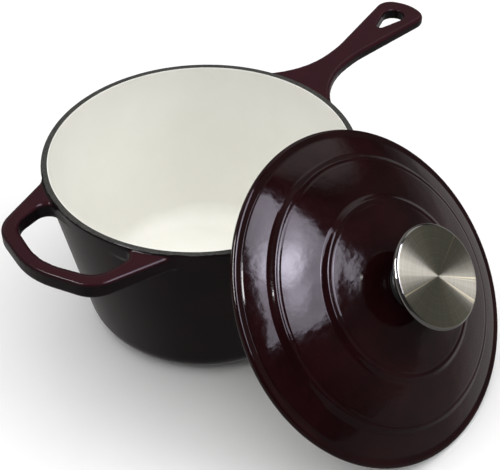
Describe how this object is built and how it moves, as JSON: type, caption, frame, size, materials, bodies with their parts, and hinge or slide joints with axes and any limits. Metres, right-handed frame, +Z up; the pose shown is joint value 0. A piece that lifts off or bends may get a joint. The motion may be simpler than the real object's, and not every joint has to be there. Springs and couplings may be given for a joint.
{
  "type": "lidded saucepan",
  "caption": "Enamelled cast-iron saucepan with a long flat handle, a loop helper handle and a ringed lid that leans on its side and lifts away by a steel-capped knob.",
  "frame": {"origin": "centre of the pan's flat foot, on the table", "axes": "+Z up along the pan's axis, +X along the long handle towards its tip; the lid leans on the -Y side"},
  "size_m": [0.3569, 0.2871, 0.1431],
  "materials": {
    "outer_enamel": "gloss enamel, dark wine on the handles and near black on the wall, bare dark grey rim",
    "inner_enamel": "gloss cream enamel",
    "lid_enamel": "gloss dark wine enamel",
    "knob_black": "satin black heat-resistant resin",
    "knob_steel": "brushed in circles on top, polished side",
    "gasket_grey": "matte",
    "insert_brass": "turned",
    "fixing_steel": "turned and pressed"
  },
  "bodies": {
    "pot": {"pot_casting": "outer_enamel", "pot_lining": "inner_enamel"},
    "lid": {"lid_casting": "lid_enamel", "lid_lining": "inner_enamel", "knob_gasket": "gasket_grey", "knob_body": "knob_black", "knob_insert": "insert_brass", "knob_cap": "knob_steel", "knob_washer": "fixing_steel", "knob_lock_washer": "fixing_steel", "knob_screw": "fixing_steel"}
  },
  "joints": [
    {"name": "lid_lift", "type": "slide", "parent": "pot", "child": "lid", "axis": [0.0102, -0.7313, 0.682], "range_m": [0, 0.15]}
  ]
}
